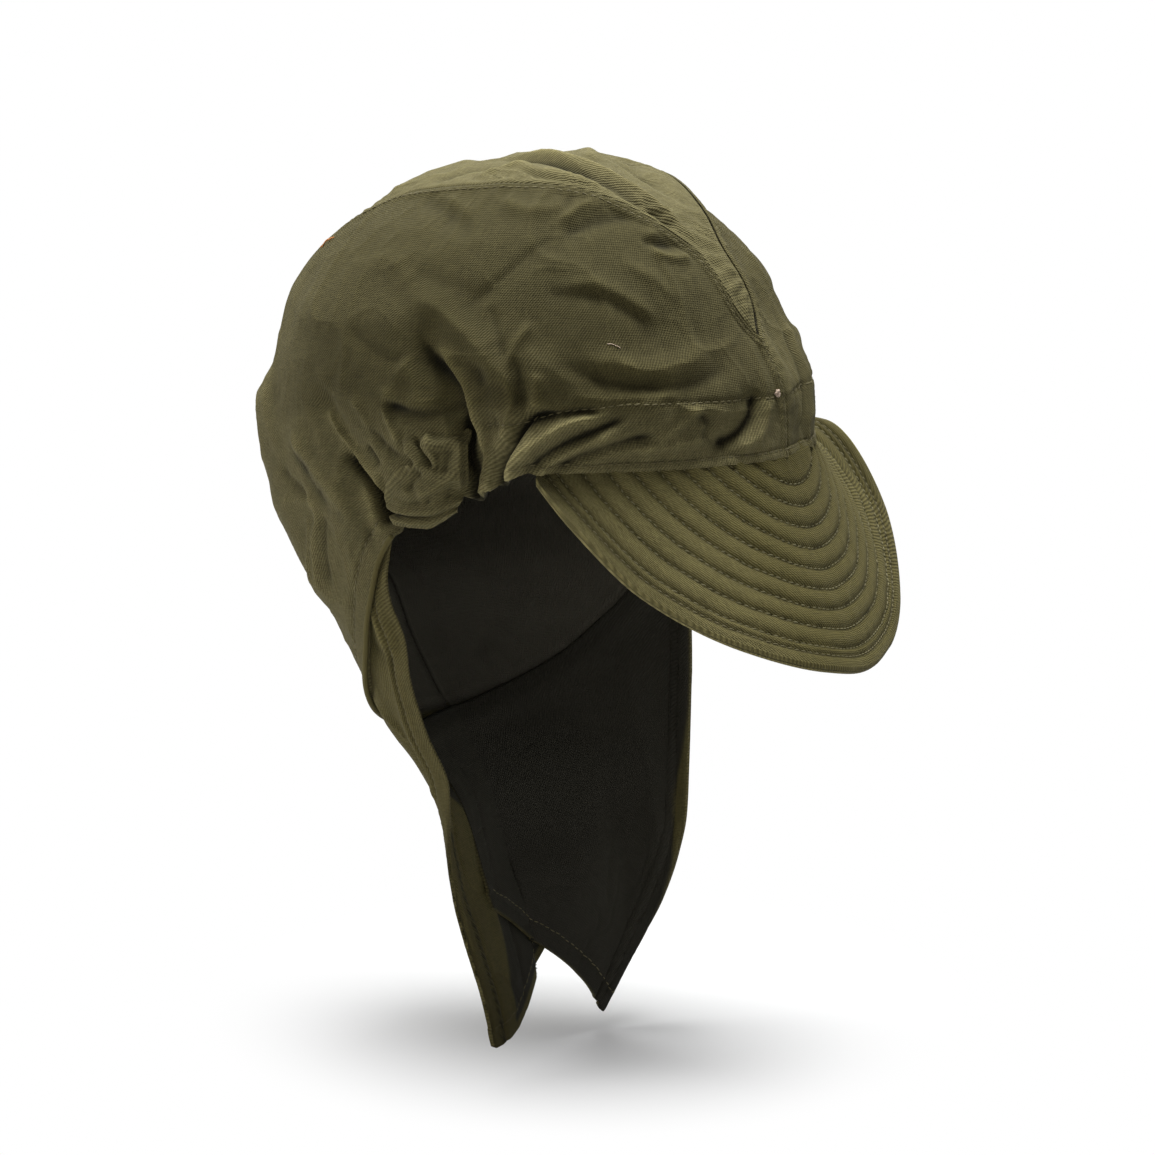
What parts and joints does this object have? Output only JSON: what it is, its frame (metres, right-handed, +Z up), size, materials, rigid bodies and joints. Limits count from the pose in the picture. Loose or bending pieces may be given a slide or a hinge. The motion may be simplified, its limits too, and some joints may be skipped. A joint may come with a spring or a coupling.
{
  "type": "field cap",
  "caption": "Soft cloth cap with side panels, a pointed oval top, a stitched quilted peak and a neck flap in two lapped halves",
  "frame": {"origin": "centre of the head opening, level with the seam between the peak and the crown's front", "axes": "+Z up, the peak points along -Y, the wearer's right side is -X"},
  "size_m": [0.1762, 0.2423, 0.3238],
  "materials": {
    "crown_cloth": "matt olive cotton twill",
    "peak_cloth": "matt olive cotton twill, quilted",
    "flap_cloth": "matt olive cotton twill, hemmed"
  },
  "bodies": {
    "root": {"crown_side_right": "crown_cloth", "crown_side_left": "crown_cloth", "crown_top": "crown_cloth", "ear_gather_right": "crown_cloth", "ear_gather_left": "crown_cloth", "peak": "peak_cloth", "neck_flap_right": "flap_cloth", "neck_flap_left": "flap_cloth"}
  },
  "joints": []
}
